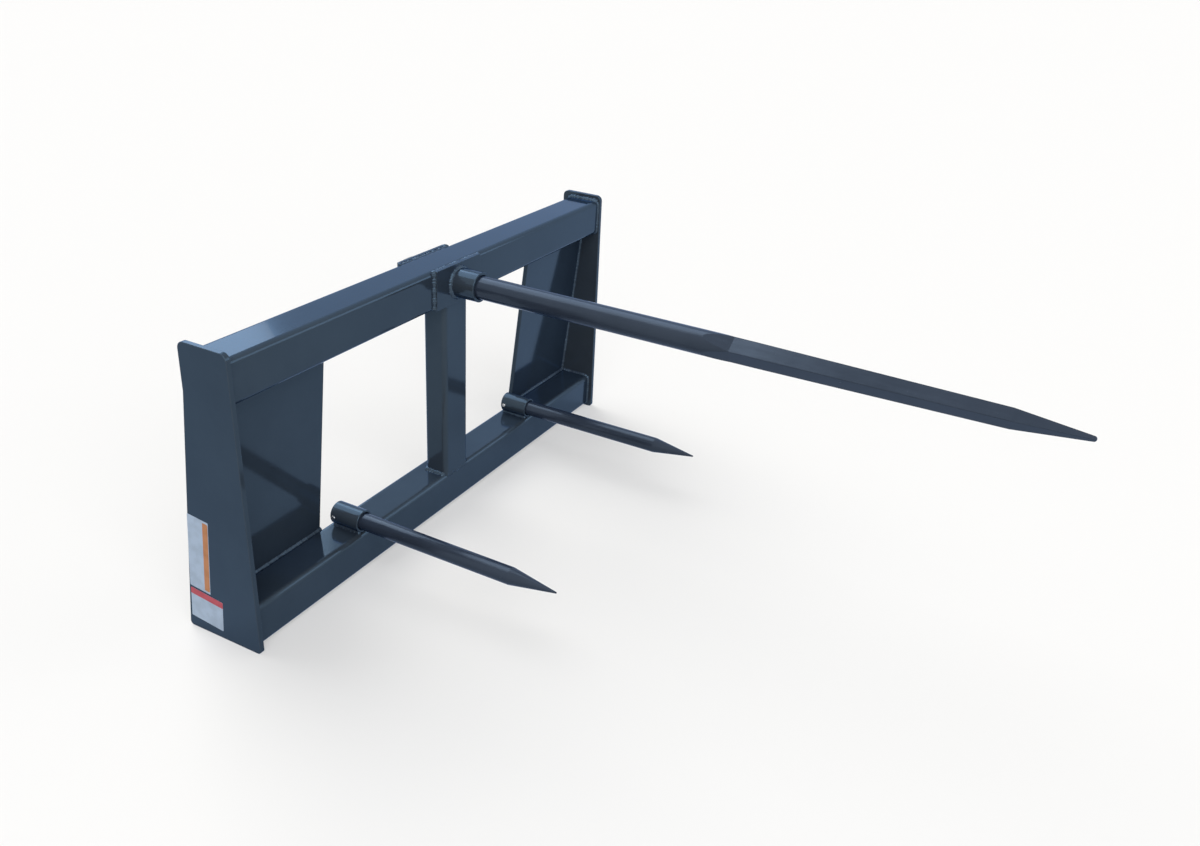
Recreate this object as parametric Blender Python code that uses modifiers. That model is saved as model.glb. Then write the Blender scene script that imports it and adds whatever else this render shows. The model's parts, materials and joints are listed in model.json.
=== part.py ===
"""Quick-attach bale spear: a welded tube frame with one long spear and two short stabilizers.

Metres, +Z up. The spears point along -Y and the loader couples at +Y. The origin is the middle of
the hook line: the top edge of the attach plates' rear faces, level with the top tube's underside.
Left is -X and right is +X.
"""
import math

import bmesh
import bpy

# Frame
FRAME_WIDTH = 1.143
TUBE_SIZE = 0.0762
TUBE_WALL = 0.0048
TUBE_CORNER_RADIUS = 0.0095
TUBE_SPACING = 0.440
POST_WIDTH = 0.0762
POST_DEPTH = 0.0508

# Side plates, measured from the faces of the tubes that they close
SIDE_THICKNESS = 0.0095
SIDE_RISE = 0.012
SIDE_DROP = 0.005
SIDE_LEAD_TOP = 0.0048
SIDE_LEAD_BOTTOM = 0.0121
SIDE_REAR_TOP = 0.0158
SIDE_REAR_BOTTOM = 0.0703
SIDE_KINK_DROP = 0.0705
SIDE_HEAD_RADIUS = 0.012
SIDE_KINK_RADIUS = 0.025
SIDE_FOOT_RADIUS = 0.007

# Attach plates with their latch-pin ledge
ATTACH_INNER_X = 0.324
ATTACH_THICKNESS = 0.0095
LEDGE_DEPTH = 0.064
LEDGE_DROP_ANGLE = math.radians(25)
LEDGE_BEND_RADIUS = 0.010
LEDGE_GROUND_GAP = 0.002
SLOT_X = 0.425
SLOT_WIDTH = 0.065
SLOT_DEPTH = 0.029
SLOT_CORNER_RADIUS = 0.005
SLOT_EDGE_MARGIN = 0.012

# Hook lips, with their step down from the top tube's top
HOOK_THICKNESS = 0.0127
HOOK_STEP = 0.0222
HOOK_REACH = 0.028
HOOK_LEAD_IN = 0.006

# Hub and its plates
HUB_RISE = 0.0012
HUB_DIAMETER = 0.05715
HUB_LEAD = 0.057
HUB_TAIL = 0.0025
HUB_MOUTH_GAP = 0.0012
HUB_MOUTH_DEPTH = 0.010
HUB_CHAMFER = 0.001
HUB_PLATE_WIDTH = 0.1397
HUB_PLATE_THICKNESS = 0.00635
HUB_PLATE_CORNER_RADIUS = 0.0015

# Long spear: lengths along it are measured back from its tip
SPEAR_LENGTH = 1.2446
SPEAR_DIAMETER = 0.04445
SPEAR_FLATS_START = 0.622
SPEAR_SQUARE_START = 0.570
SPEAR_TAPER_START = 0.525
SPEAR_POINT_LENGTH = 0.120
SPEAR_SQUARE_SIDE = 0.0314
SPEAR_POINT_SIDE = 0.0247
SPEAR_NOSE_RADIUS = 0.0047
SPEAR_ARRIS_TILT = math.radians(8.5)
SPEAR_ARRIS_SHARE = 0.985
SPEAR_ROOT_DIAMETER = 0.033
SPEAR_SHOULDER_DEPTH = 0.001
STUD_DIAMETER = 0.030
STUD_PROUD = 0.002
STUD_CHAMFER = 0.0015

# Washer and nut behind the hub
WASHER_DIAMETER = 0.060
WASHER_THICKNESS = 0.004
NUT_ACROSS_FLATS = 0.046
NUT_HEIGHT = 0.024
NUT_CHAMFER = 0.0035

# Stabilizers
STABILIZER_X = 0.286
STABILIZER_LENGTH = 0.468
STABILIZER_DIAMETER = 0.03175
STABILIZER_POINT_LENGTH = 0.090
STABILIZER_NOSE_RADIUS = 0.0015
STABILIZER_CHAMFER = 0.001
SLEEVE_DIAMETER = 0.0422
SLEEVE_WALL = 0.00356
SLEEVE_LENGTH = 0.062
SLEEVE_SETBACK = 0.0033
SLEEVE_CHAMFER = 0.0008
PIN_DIAMETER = 0.008
PIN_SETBACK = 0.0077
PIN_PROUD = 0.0012
PIN_CHAMFER = 0.0008

# Workshop values
CLEARANCE = 0.0003
OVERRUN = 0.004
EDGE_BREAK = 0.0008
MERGE_DISTANCE = 0.00001
ROUND_STEPS = 48
PIN_STEPS = 24
CORNER_STEPS = 6
NOSE_STEPS = 5
SHARP_ANGLE = math.radians(28)
FLAT_ANGLE = math.radians(1)

# Colours and finish of the pieces
FRAME_PAINT = ((0.030, 0.037, 0.055), 0.28, 0.0)
SPEAR_PAINT = ((0.052, 0.060, 0.074), 0.42, 0.0)
ZINC_PLATE = ((0.520, 0.535, 0.560), 0.34, 1.0)

# Turns that lay a piece drawn flat, or turned about local Z, along the frame's axes
FACING_SIDE = (math.pi / 2, 0, math.pi / 2)
FACING_FRONT = (math.pi / 2, 0, 0)
ALONG_X = (0, math.pi / 2, 0)
UPRIGHT = (0, 0, 0)


def attach_lean():
    """Angle from upright at which the attach plates rest on the bottom tube's rounded rear corner."""
    back = TUBE_SIZE / 2 - TUBE_CORNER_RADIUS
    down = TUBE_SPACING - TUBE_SIZE + TUBE_CORNER_RADIUS - CLEARANCE
    return math.asin((TUBE_CORNER_RADIUS + CLEARANCE) / math.hypot(back, down)) + math.atan2(back, down)


# Places worked out from the sizes
LEAN = attach_lean()
INNER_X = FRAME_WIDTH / 2 - SIDE_THICKNESS
TUBE_Y = -ATTACH_THICKNESS / math.cos(LEAN)
FRONT_Y = TUBE_Y - TUBE_SIZE / 2
REAR_Y = TUBE_Y + TUBE_SIZE / 2
TOP_Z = TUBE_SIZE
TOP_TUBE_Z = TUBE_SIZE / 2
BOTTOM_TUBE_Z = TOP_TUBE_Z - TUBE_SPACING
BOTTOM_TUBE_TOP = BOTTOM_TUBE_Z + TUBE_SIZE / 2
GROUND_Z = BOTTOM_TUBE_Z - TUBE_SIZE / 2 - SIDE_DROP
HUB_Z = TOP_TUBE_Z + HUB_RISE
HUB_REAR = TUBE_SIZE + CLEARANCE + HUB_PLATE_THICKNESS + HUB_TAIL
WASHER_REAR = HUB_REAR + CLEARANCE + WASHER_THICKNESS
NUT_REAR = WASHER_REAR + CLEARANCE + NUT_HEIGHT
SPEAR_TIP = SPEAR_LENGTH - NUT_REAR - STUD_PROUD
SLEEVE_FRONT_Y = FRONT_Y + SLEEVE_SETBACK
SLEEVE_Z = BOTTOM_TUBE_TOP + CLEARANCE + SLEEVE_DIAMETER / 2
PIN_Y = SLEEVE_FRONT_Y + SLEEVE_LENGTH - PIN_SETBACK


def clear_scene():
    """Remove every object that the file opened with."""
    for item in list(bpy.data.objects):
        bpy.data.objects.remove(item, do_unlink=True)


def new_collection(name):
    """Add a collection to the scene."""
    collection = bpy.data.collections.new(name)
    bpy.context.scene.collection.children.link(collection)
    return collection


def new_material(name, finish):
    """Make a Principled material from a colour, a roughness and a metallic value."""
    colour, roughness, metallic = finish
    material = bpy.data.materials.new(name)
    material.use_nodes = True
    shader = material.node_tree.nodes["Principled BSDF"]
    shader.inputs["Base Color"].default_value = (*colour, 1)
    shader.inputs["Roughness"].default_value = roughness
    shader.inputs["Metallic"].default_value = metallic
    material.diffuse_color = (*colour, 1)
    return material


def arc(centre, radius, start, sweep, steps):
    """Points along an arc, both ends included."""
    u, v = centre
    angles = [start + sweep * step / steps for step in range(steps + 1)]
    return [(u + radius * math.cos(angle), v + radius * math.sin(angle)) for angle in angles]


def circle(radius, steps):
    """Points around a circle at the outline's origin."""
    return arc((0, 0), radius, 0, 2 * math.pi, steps)[:-1]


def rounded(corners):
    """Outline through corners given as (u, v, radius), each with its fillet."""
    points = []
    for index, (u, v, radius) in enumerate(corners):
        before = corners[index - 1]
        after = corners[(index + 1) % len(corners)]
        if radius == 0:
            points.append((u, v))
            continue
        into = math.atan2(v - before[1], u - before[0])
        out = math.atan2(after[1] - v, after[0] - u)
        turn = (out - into + math.pi) % (2 * math.pi) - math.pi
        run = radius * math.tan(abs(turn) / 2)
        side = math.copysign(math.pi / 2, turn)
        start = (u - run * math.cos(into), v - run * math.sin(into))
        centre = (start[0] + radius * math.cos(into + side), start[1] + radius * math.sin(into + side))
        steps = max(2, round(CORNER_STEPS * abs(turn) / (math.pi / 2)))
        points.extend(arc(centre, radius, into - side, turn, steps))
    return points


def rectangle(width, height, radius):
    """Rounded rectangle around the outline's origin."""
    u = width / 2
    v = height / 2
    return rounded([(-u, -v, radius), (u, -v, radius), (u, v, radius), (-u, v, radius)])


def evaluated_mesh(item):
    """Mesh of an object with its modifiers or curve settings applied."""
    bpy.context.view_layer.update()
    depsgraph = bpy.context.evaluated_depsgraph_get()
    return bpy.data.meshes.new_from_object(item.evaluated_get(depsgraph))


def flat_piece(name, outlines, thickness, location, rotation, collection):
    """Fill flat outlines, extrude them by the thickness and turn the curve into a closed mesh."""
    curve = bpy.data.curves.new(name + "_outline", "CURVE")
    curve.dimensions = "2D"
    curve.fill_mode = "BOTH"
    curve.extrude = thickness / 2
    for outline in outlines:
        spline = curve.splines.new("POLY")
        spline.points.add(len(outline) - 1)
        for point, (u, v) in zip(spline.points, outline):
            point.co = (u, v, 0, 1)
        spline.use_cyclic_u = True
    guide = bpy.data.objects.new(name + "_outline", curve)
    guide.location = location
    guide.rotation_euler = rotation
    collection.objects.link(guide)
    mesh = evaluated_mesh(guide)
    weld = bmesh.new()
    weld.from_mesh(mesh)
    bmesh.ops.remove_doubles(weld, verts=weld.verts, dist=MERGE_DISTANCE)
    bmesh.ops.dissolve_limit(weld, angle_limit=FLAT_ANGLE, verts=weld.verts, edges=weld.edges)
    bmesh.ops.recalc_face_normals(weld, faces=weld.faces)
    weld.to_mesh(mesh)
    weld.free()
    piece = bpy.data.objects.new(name, mesh)
    piece.matrix_world = guide.matrix_world
    bpy.data.objects.remove(guide, do_unlink=True)
    collection.objects.link(piece)
    return piece


def turned_piece(name, profile, location, rotation, collection, steps=ROUND_STEPS, closed=False):
    """Turn a profile of (radius, height) points, drawn down its outer side, about local Z."""
    mesh = bpy.data.meshes.new(name)
    edges = [(index, index + 1) for index in range(len(profile) - 1)]
    if closed:
        edges.append((len(profile) - 1, 0))
    mesh.from_pydata([(radius, 0, height) for radius, height in profile], edges, [])
    piece = bpy.data.objects.new(name, mesh)
    piece.location = location
    piece.rotation_euler = rotation
    collection.objects.link(piece)
    screw = piece.modifiers.new("Turn", "SCREW")
    screw.axis = "Z"
    screw.steps = steps
    screw.render_steps = steps
    screw.use_merge_vertices = True
    screw.merge_threshold = MERGE_DISTANCE
    return piece


def break_edges(piece):
    """Take the sharp edges off a plate."""
    bevel = piece.modifiers.new("Edge break", "BEVEL")
    bevel.width = EDGE_BREAK
    bevel.segments = 1
    bevel.limit_method = "ANGLE"
    bevel.angle_limit = SHARP_ANGLE


def shape_with(piece, tool, operation):
    """Cut a piece with a tool, or keep only what lies inside the tool."""
    tool.hide_render = True
    tool.display_type = "WIRE"
    boolean = piece.modifiers.new(tool.name, "BOOLEAN")
    boolean.operation = operation
    boolean.solver = "EXACT"
    boolean.object = tool


def rod(name, radius, length, location, rotation, collection, steps=ROUND_STEPS):
    """Plain cylinder about local Z, centred on its location."""
    mesh = bpy.data.meshes.new(name)
    solid = bmesh.new()
    bmesh.ops.create_cone(solid, cap_ends=True, segments=steps, radius1=radius, radius2=radius, depth=length)
    solid.to_mesh(mesh)
    solid.free()
    piece = bpy.data.objects.new(name, mesh)
    piece.location = location
    piece.rotation_euler = rotation
    collection.objects.link(piece)
    return piece


def square_tube(name, centre_z, collection):
    """Square tube between the side plates."""
    inner = TUBE_SIZE - 2 * TUBE_WALL
    outlines = [
        rectangle(TUBE_SIZE, TUBE_SIZE, TUBE_CORNER_RADIUS),
        rectangle(inner, inner, TUBE_CORNER_RADIUS - TUBE_WALL),
    ]
    length = 2 * (INNER_X - CLEARANCE)
    return flat_piece(name, outlines, length, (0, TUBE_Y, centre_z), ALONG_X, collection)


def top_tube(parts, tools):
    """Top tube with the holes that the hub passes through."""
    tube = square_tube("top_tube", TOP_TUBE_Z, parts)
    radius = HUB_DIAMETER / 2 + CLEARANCE
    length = TUBE_SIZE + 2 * OVERRUN
    bore = rod("hub_bore", radius, length, (0, TUBE_Y, HUB_Z), FACING_FRONT, tools)
    shape_with(tube, bore, "DIFFERENCE")
    return tube


def centre_post(parts):
    """Rectangular tube that stands between the two square tubes, flush with their front."""
    outlines = [
        rectangle(POST_WIDTH, POST_DEPTH, TUBE_CORNER_RADIUS),
        rectangle(POST_WIDTH - 2 * TUBE_WALL, POST_DEPTH - 2 * TUBE_WALL, TUBE_CORNER_RADIUS - TUBE_WALL),
    ]
    height = -BOTTOM_TUBE_TOP - 2 * CLEARANCE
    place = (0, FRONT_Y + POST_DEPTH / 2, BOTTOM_TUBE_TOP / 2)
    return flat_piece("centre_post", outlines, height, place, UPRIGHT, parts)


def side_plate(name, side, parts):
    """End plate, upright behind the top tube and then slanting back to its foot."""
    top = TOP_Z + SIDE_RISE
    outline = rounded([
        (FRONT_Y - SIDE_LEAD_BOTTOM, GROUND_Z, SIDE_FOOT_RADIUS),
        (REAR_Y + SIDE_REAR_BOTTOM, GROUND_Z, SIDE_FOOT_RADIUS),
        (REAR_Y + SIDE_REAR_TOP, TOP_Z - SIDE_KINK_DROP, SIDE_KINK_RADIUS),
        (REAR_Y + SIDE_REAR_TOP, top, SIDE_HEAD_RADIUS),
        (FRONT_Y - SIDE_LEAD_TOP, top, SIDE_HEAD_RADIUS),
    ])
    place = (side * (INNER_X + SIDE_THICKNESS / 2), 0, 0)
    plate = flat_piece(name, [outline], SIDE_THICKNESS, place, FACING_SIDE, parts)
    break_edges(plate)
    return plate


def ledge_frame():
    """Bend point under the attach plate, and the ledge's direction and upward normal, as (y, z)."""
    along = (math.cos(LEDGE_DROP_ANGLE), -math.sin(LEDGE_DROP_ANGLE))
    normal = (math.sin(LEDGE_DROP_ANGLE), math.cos(LEDGE_DROP_ANGLE))
    bend_z = GROUND_Z + LEDGE_GROUND_GAP - LEDGE_DEPTH * along[1]
    bend_y = TUBE_Y - (bend_z + CLEARANCE) * math.tan(LEAN)
    return (bend_y, bend_z), along, normal


def attach_plate(name, side, parts, tools):
    """Bent plate: it leans back from the top tube onto the bottom tube and turns into the ledge."""
    bend, along, normal = ledge_frame()
    face = (math.cos(LEAN), math.sin(LEAN))
    corner = ATTACH_THICKNESS / (1 + face[0] * normal[0] + face[1] * normal[1])
    inner_bend = (bend[0] + corner * (face[0] + normal[0]), bend[1] + corner * (face[1] + normal[1]))
    toe = (bend[0] + LEDGE_DEPTH * along[0], bend[1] + LEDGE_DEPTH * along[1])
    toe_top = (toe[0] + ATTACH_THICKNESS * normal[0], toe[1] + ATTACH_THICKNESS * normal[1])
    outline = rounded([
        (TUBE_Y, -CLEARANCE, 0),
        (*bend, LEDGE_BEND_RADIUS + ATTACH_THICKNESS),
        (*toe, 0),
        (*toe_top, 0),
        (*inner_bend, LEDGE_BEND_RADIUS),
        (CLEARANCE * math.tan(LEAN), -CLEARANCE, 0),
    ])
    outer_x = INNER_X - CLEARANCE
    place = (side * (ATTACH_INNER_X + outer_x) / 2, 0, 0)
    plate = flat_piece(name, [outline], outer_x - ATTACH_INNER_X, place, FACING_SIDE, parts)
    break_edges(plate)
    slot_run = LEDGE_DEPTH - SLOT_EDGE_MARGIN - SLOT_DEPTH / 2
    slot_y = bend[0] + slot_run * along[0] + ATTACH_THICKNESS / 2 * normal[0]
    slot_z = bend[1] + slot_run * along[1] + ATTACH_THICKNESS / 2 * normal[1]
    slot = flat_piece(
        name + "_slot",
        [rectangle(SLOT_WIDTH, SLOT_DEPTH, SLOT_CORNER_RADIUS)],
        ATTACH_THICKNESS + 2 * OVERRUN,
        (side * SLOT_X, slot_y, slot_z),
        (-LEDGE_DROP_ANGLE, 0, 0),
        tools,
    )
    shape_with(plate, slot, "DIFFERENCE")
    return plate


def hook_lip(name, side, parts):
    """Bar on the top tube's rear face that hangs below it and holds the loader plate's top edge."""
    front = REAR_Y + CLEARANCE
    rear = front + HOOK_THICKNESS
    top = TOP_Z - HOOK_STEP
    outline = [
        (front, top),
        (front, HOOK_LEAD_IN - HOOK_REACH),
        (front + HOOK_LEAD_IN, -HOOK_REACH),
        (rear, -HOOK_REACH),
        (rear, top),
    ]
    outer_x = INNER_X - CLEARANCE
    place = (side * (ATTACH_INNER_X + outer_x) / 2, 0, 0)
    lip = flat_piece(name, [outline], outer_x - ATTACH_INNER_X, place, FACING_SIDE, parts)
    break_edges(lip)
    return lip


def hub_plate(name, face_y, outward, parts):
    """Doubler plate around the hub on one face of the top tube."""
    outlines = [
        rectangle(HUB_PLATE_WIDTH, TUBE_SIZE, HUB_PLATE_CORNER_RADIUS),
        circle(HUB_DIAMETER / 2 + CLEARANCE, ROUND_STEPS),
    ]
    place = (0, face_y + outward * (CLEARANCE + HUB_PLATE_THICKNESS / 2), HUB_Z)
    plate = flat_piece(name, outlines, HUB_PLATE_THICKNESS, place, FACING_FRONT, parts)
    break_edges(plate)
    return plate


def main_hub(parts):
    """Thick sleeve with a short mouth and a tapered seat for the spear's root."""
    outer = HUB_DIAMETER / 2
    seat_front = HUB_LEAD - HUB_MOUTH_DEPTH
    shank = SPEAR_DIAMETER / 2
    profile = [
        (outer - HUB_CHAMFER, HUB_LEAD),
        (outer, HUB_LEAD - HUB_CHAMFER),
        (outer, -HUB_REAR + HUB_CHAMFER),
        (outer - HUB_CHAMFER, -HUB_REAR),
        (SPEAR_ROOT_DIAMETER / 2 + CLEARANCE, -HUB_REAR),
        (shank + CLEARANCE, seat_front),
        (shank + HUB_MOUTH_GAP, seat_front + HUB_MOUTH_GAP),
        (shank + HUB_MOUTH_GAP, HUB_LEAD),
    ]
    return turned_piece("main_hub", profile, (0, FRONT_Y, HUB_Z), FACING_FRONT, parts, closed=True)


def main_spear(parts, tools):
    """Forged spear: a turned bar kept inside a four-sided envelope that gives blade and point."""
    shank = SPEAR_DIAMETER / 2
    blade = SPEAR_SQUARE_SIDE / math.sqrt(2)
    point = SPEAR_POINT_SIDE / math.sqrt(2)
    nose_centre = SPEAR_TIP - SPEAR_NOSE_RADIUS
    point_start = SPEAR_TIP - SPEAR_POINT_LENGTH
    narrowing = (point - SPEAR_NOSE_RADIUS) / (nose_centre - point_start)
    cone = math.atan(narrowing)
    nose = arc((0, nose_centre), SPEAR_NOSE_RADIUS, math.pi / 2, cone - math.pi / 2, NOSE_STEPS)
    stud = STUD_DIAMETER / 2
    tail = -NUT_REAR - STUD_PROUD
    shoulder = SPEAR_SHOULDER_DEPTH - HUB_REAR
    profile = [(max(0, radius), height) for radius, height in nose]
    profile[0] = (0, SPEAR_TIP)
    profile += [
        (point * SPEAR_ARRIS_SHARE, point_start),
        (min(shank, blade * SPEAR_ARRIS_SHARE), SPEAR_TIP - SPEAR_TAPER_START),
        (min(shank, blade), SPEAR_TIP - SPEAR_SQUARE_START),
        (shank, SPEAR_TIP - SPEAR_FLATS_START),
        (shank, HUB_LEAD - HUB_MOUTH_DEPTH),
        (SPEAR_ROOT_DIAMETER / 2, shoulder),
        (stud, shoulder),
        (stud, tail + STUD_CHAMFER),
        (stud - STUD_CHAMFER, tail),
        (0, tail),
    ]
    turn = (math.pi / 2, SPEAR_ARRIS_TILT, 0)
    spear = turned_piece("main_spear", profile, (0, FRONT_Y, HUB_Z), turn, parts)
    envelope = [
        (0, SPEAR_TIP + OVERRUN),
        (point - narrowing * (SPEAR_POINT_LENGTH + OVERRUN), SPEAR_TIP + OVERRUN),
        (point, point_start),
        (blade, SPEAR_TIP - SPEAR_TAPER_START),
        (blade, SPEAR_TIP - SPEAR_SQUARE_START),
        (shank * math.sqrt(2) + CLEARANCE, SPEAR_TIP - SPEAR_FLATS_START),
        (shank * math.sqrt(2) + OVERRUN, tail - OVERRUN),
        (0, tail - OVERRUN),
    ]
    square = turned_piece("spear_envelope", envelope, (0, FRONT_Y, HUB_Z), turn, tools, steps=4)
    shape_with(spear, square, "INTERSECT")
    return spear


def spear_washer(parts):
    """Flat washer between the hub's tail and the nut."""
    outer = WASHER_DIAMETER / 2
    bore = STUD_DIAMETER / 2 + CLEARANCE
    profile = [
        (outer - EDGE_BREAK, -WASHER_REAR + WASHER_THICKNESS),
        (outer, -WASHER_REAR + WASHER_THICKNESS - EDGE_BREAK),
        (outer, -WASHER_REAR + EDGE_BREAK),
        (outer - EDGE_BREAK, -WASHER_REAR),
        (bore, -WASHER_REAR),
        (bore, -WASHER_REAR + WASHER_THICKNESS),
    ]
    return turned_piece("spear_washer", profile, (0, FRONT_Y, HUB_Z), FACING_FRONT, parts, closed=True)


def spear_nut(parts, tools):
    """Hexagon nut with its corners turned off on both faces."""
    corner = NUT_ACROSS_FLATS / math.sqrt(3)
    outlines = [circle(corner, 6), circle(STUD_DIAMETER / 2 + CLEARANCE, ROUND_STEPS)]
    place = (0, FRONT_Y + NUT_REAR - NUT_HEIGHT / 2, HUB_Z)
    nut = flat_piece("spear_nut", outlines, NUT_HEIGHT, place, FACING_FRONT, parts)
    face = NUT_ACROSS_FLATS / 2
    half = NUT_HEIGHT / 2
    profile = [
        (0, half + OVERRUN),
        (face - OVERRUN, half + OVERRUN / 2),
        (face, half),
        (corner + OVERRUN, half - NUT_CHAMFER),
        (corner + OVERRUN, NUT_CHAMFER - half),
        (face, -half),
        (face - OVERRUN, -half - OVERRUN / 2),
        (0, -half - OVERRUN),
    ]
    chamfer = turned_piece("nut_chamfer", profile, place, FACING_FRONT, tools)
    shape_with(nut, chamfer, "INTERSECT")
    return nut


def stabilizer(label, side, parts, tools):
    """Sleeve on the bottom tube, the short spear in it and the cross pin through both."""
    outer = SLEEVE_DIAMETER / 2
    bore = outer - SLEEVE_WALL
    place = (side * STABILIZER_X, SLEEVE_FRONT_Y, SLEEVE_Z)
    sleeve_profile = [
        (outer - SLEEVE_CHAMFER, 0),
        (outer, -SLEEVE_CHAMFER),
        (outer, SLEEVE_CHAMFER - SLEEVE_LENGTH),
        (outer - SLEEVE_CHAMFER, -SLEEVE_LENGTH),
        (bore, -SLEEVE_LENGTH),
        (bore, 0),
    ]
    sleeve = turned_piece(label + "_stabilizer_sleeve", sleeve_profile, place, FACING_FRONT, parts, closed=True)
    radius = STABILIZER_DIAMETER / 2
    tip = STABILIZER_LENGTH - SLEEVE_LENGTH
    nose_centre = tip - STABILIZER_NOSE_RADIUS
    cone = math.atan((radius - STABILIZER_NOSE_RADIUS) / (STABILIZER_POINT_LENGTH - STABILIZER_NOSE_RADIUS))
    nose = arc((0, nose_centre), STABILIZER_NOSE_RADIUS, math.pi / 2, cone - math.pi / 2, NOSE_STEPS)
    spear_profile = [(0, tip)] + nose[1:] + [
        (radius, tip - STABILIZER_POINT_LENGTH),
        (radius, STABILIZER_CHAMFER - SLEEVE_LENGTH),
        (radius - STABILIZER_CHAMFER, -SLEEVE_LENGTH),
        (0, -SLEEVE_LENGTH),
    ]
    spear = turned_piece(label + "_stabilizer_spear", spear_profile, place, FACING_FRONT, parts)
    pin_place = (side * STABILIZER_X, PIN_Y, SLEEVE_Z)
    half = outer + PIN_PROUD
    pin_radius = PIN_DIAMETER / 2
    pin_profile = [
        (0, half),
        (pin_radius - PIN_CHAMFER, half),
        (pin_radius, half - PIN_CHAMFER),
        (pin_radius, PIN_CHAMFER - half),
        (pin_radius - PIN_CHAMFER, -half),
        (0, -half),
    ]
    pin = turned_piece(label + "_stabilizer_pin", pin_profile, pin_place, ALONG_X, parts, steps=PIN_STEPS)
    hole_length = SLEEVE_DIAMETER + 2 * OVERRUN
    hole = rod(label + "_pin_hole", pin_radius + CLEARANCE, hole_length, pin_place, ALONG_X, tools, PIN_STEPS)
    shape_with(sleeve, hole, "DIFFERENCE")
    shape_with(spear, hole, "DIFFERENCE")
    return sleeve, spear, pin


def settle(piece, finish, datum):
    """Apply a piece's modifiers, shade it, give it its material and hang it on the datum."""
    mesh = evaluated_mesh(piece)
    mesh.name = piece.name
    piece.modifiers.clear()
    piece.data = mesh
    mesh.shade_smooth()
    mesh.set_sharp_from_angle(angle=SHARP_ANGLE)
    mesh.materials.clear()
    mesh.materials.append(new_material(piece.name, finish))
    piece.parent = datum


def main():
    """Build the bale spear."""
    clear_scene()
    parts = new_collection("bale_spear")
    tools = new_collection("cutters")
    datum = bpy.data.objects.new("hook_line", None)
    parts.objects.link(datum)

    frame = [
        top_tube(parts, tools),
        square_tube("bottom_tube", BOTTOM_TUBE_Z, parts),
        centre_post(parts),
        hub_plate("front_hub_plate", FRONT_Y, -1, parts),
        hub_plate("rear_hub_plate", REAR_Y, 1, parts),
        main_hub(parts),
    ]
    spears = [main_spear(parts, tools)]
    hardware = [spear_washer(parts), spear_nut(parts, tools)]
    for label, side in (("left", -1), ("right", 1)):
        frame.append(side_plate(label + "_side_plate", side, parts))
        frame.append(attach_plate(label + "_attach_plate", side, parts, tools))
        frame.append(hook_lip(label + "_hook_lip", side, parts))
        sleeve, spear, pin = stabilizer(label, side, parts, tools)
        frame.append(sleeve)
        spears.append(spear)
        hardware.append(pin)

    for pieces, finish in ((frame, FRAME_PAINT), (spears, SPEAR_PAINT), (hardware, ZINC_PLATE)):
        for piece in pieces:
            settle(piece, finish, datum)


if __name__ == "__main__":
    main()
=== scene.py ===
"""Looks of the quick-attach bale spear: gloss paint, weld beads, plated hardware, decal film and studio.

Sizes are in metres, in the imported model's frame: +Z is up, the spears point along -Y, left is -X.
"""
import json
import logging
import math
from dataclasses import dataclass
from enum import Enum
from typing import Any, Iterable

import bmesh
import bpy
from mathutils import Matrix, Vector


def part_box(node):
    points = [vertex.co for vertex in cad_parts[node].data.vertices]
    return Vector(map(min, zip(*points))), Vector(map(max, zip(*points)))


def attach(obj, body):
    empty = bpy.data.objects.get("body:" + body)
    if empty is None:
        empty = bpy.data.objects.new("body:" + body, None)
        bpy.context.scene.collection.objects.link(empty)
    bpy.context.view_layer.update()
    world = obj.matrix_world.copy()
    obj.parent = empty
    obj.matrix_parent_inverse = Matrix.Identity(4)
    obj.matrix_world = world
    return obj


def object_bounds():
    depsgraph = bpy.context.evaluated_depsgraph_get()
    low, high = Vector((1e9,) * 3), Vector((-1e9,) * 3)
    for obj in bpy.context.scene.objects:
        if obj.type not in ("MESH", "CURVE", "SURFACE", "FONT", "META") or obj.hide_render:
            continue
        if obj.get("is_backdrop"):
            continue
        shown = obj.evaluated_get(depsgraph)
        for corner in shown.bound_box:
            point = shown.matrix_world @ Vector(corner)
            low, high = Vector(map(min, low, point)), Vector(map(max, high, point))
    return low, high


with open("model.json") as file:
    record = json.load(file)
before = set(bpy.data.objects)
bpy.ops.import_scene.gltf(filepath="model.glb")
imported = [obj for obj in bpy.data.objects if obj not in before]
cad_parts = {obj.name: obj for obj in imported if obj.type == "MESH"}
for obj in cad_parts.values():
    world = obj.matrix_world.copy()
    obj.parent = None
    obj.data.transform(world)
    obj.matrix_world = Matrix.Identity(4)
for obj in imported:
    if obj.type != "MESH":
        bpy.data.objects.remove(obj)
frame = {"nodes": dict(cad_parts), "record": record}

LOG = logging.getLogger("bale_spear")
BODY = "root"
MM = 0.001
QUARTER_TURN = math.pi / 2
Colour = tuple[float, float, float]
Place = tuple[float, float, float]
Span = tuple[float, float]
Inputs = dict[str, Any]
Sockets = Iterable[tuple[str, str, Any]]
WHITE: Colour = (1.0, 1.0, 1.0)
FACING = "facing"
LEG = "leg"


class Side(Enum):
    """The two ends of the frame."""

    LEFT = -1
    RIGHT = 1

    @property
    def label(self) -> str:
        """Word that starts the names of this side's pieces."""
        return self.name.lower()


class Slot(Enum):
    """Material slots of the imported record."""

    FRAME_PAINT = "frame_paint"
    SPEAR_PAINT = "spear_paint"
    ZINC_PLATE = "zinc_plate"


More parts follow.
